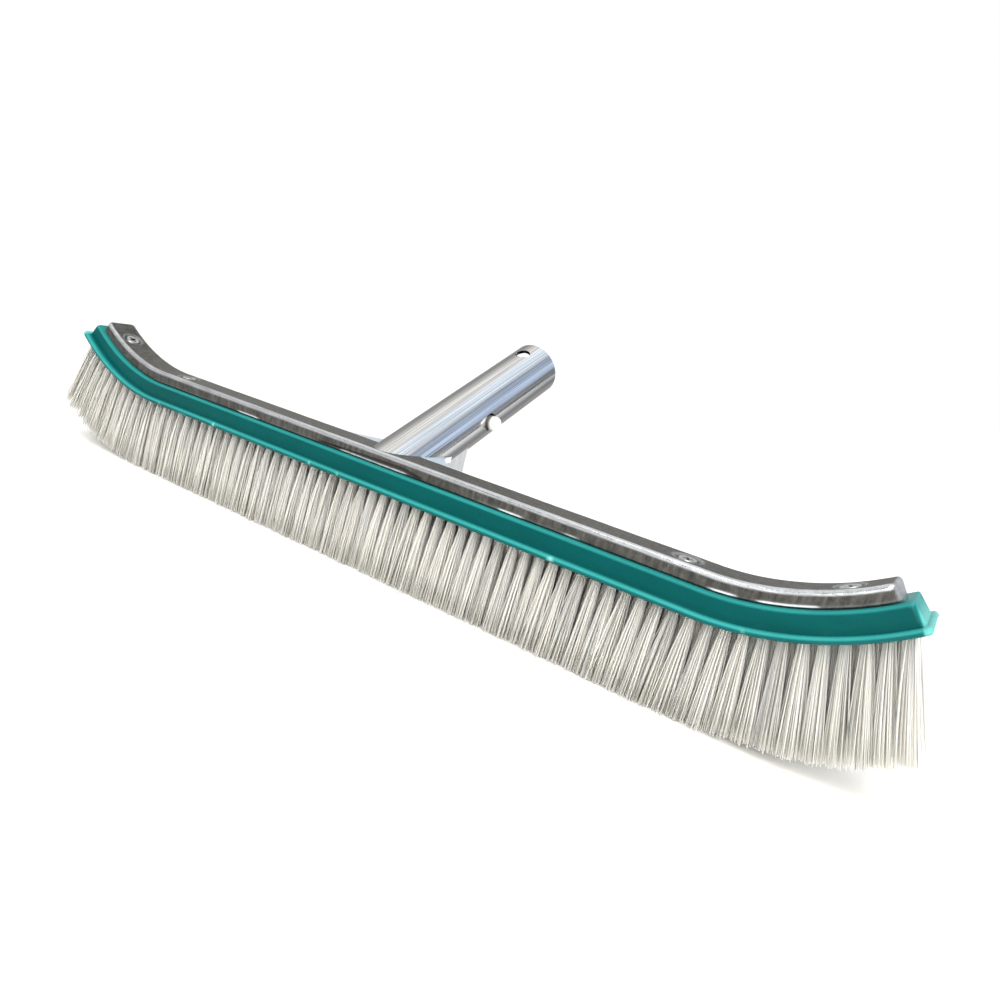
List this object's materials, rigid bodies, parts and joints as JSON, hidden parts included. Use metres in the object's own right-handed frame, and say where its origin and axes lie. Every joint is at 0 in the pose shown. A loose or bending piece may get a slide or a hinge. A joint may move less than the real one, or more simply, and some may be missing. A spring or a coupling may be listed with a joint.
{
  "type": "pool wall brush",
  "caption": "Curved wall-scrubbing brush with rows of stiff tufts, a metal back and a slanted tube socket with a sprung two-button clip for a pole.",
  "frame": {"origin": "under the middle of the head, on the plane of the bristle tips, where the brush meets the wall", "axes": "+X along the head, +Y towards the socket tube, +Z from the bristle tips to the back"},
  "size_m": [0.4858, 0.1431, 0.1152],
  "materials": {
    "teal_plastic": "semi-gloss moulded",
    "cast_aluminium": "tumbled casting with a polished edge",
    "web_aluminium": "satin",
    "tube_aluminium": "polished drawn tube",
    "screw_steel": "plain",
    "bristle_nylon": "translucent ivory filament",
    "staple_wire": "flat wire",
    "spring_steel": "rolled strip",
    "white_nylon": "smooth moulded"
  },
  "bodies": {
    "head": {"brush_block": "teal_plastic", "back_casting": "cast_aluminium", "socket_saddle": "cast_aluminium", "gusset_left": "web_aluminium", "gusset_right": "web_aluminium", "socket_tube": "tube_aluminium", "back_screws": "screw_steel", "tuft_row_1": "bristle_nylon", "tuft_row_2": "bristle_nylon", "tuft_row_3": "bristle_nylon", "tuft_row_4": "bristle_nylon", "staple_row_1": "staple_wire", "staple_row_2": "staple_wire", "staple_row_3": "staple_wire", "staple_row_4": "staple_wire", "clip_bend": "spring_steel"},
    "button_right": {"clip_leg_right": "spring_steel", "clip_button_right": "white_nylon"},
    "button_left": {"clip_leg_left": "spring_steel", "clip_button_left": "white_nylon"}
  },
  "joints": [
    {"name": "press_right", "type": "hinge", "parent": "head", "child": "button_right", "pos_m": [0.01, 0.03291, 0.06027], "axis": [0, -0.4337, 0.9011], "range_deg": [0, 10.5], "stiffness_Nm_per_rad": 2.5},
    {"name": "press_left", "type": "hinge", "parent": "head", "child": "button_left", "pos_m": [-0.01, 0.03291, 0.06027], "axis": [0, 0.4337, -0.9011], "range_deg": [0, 10.5], "stiffness_Nm_per_rad": 2.5}
  ]
}
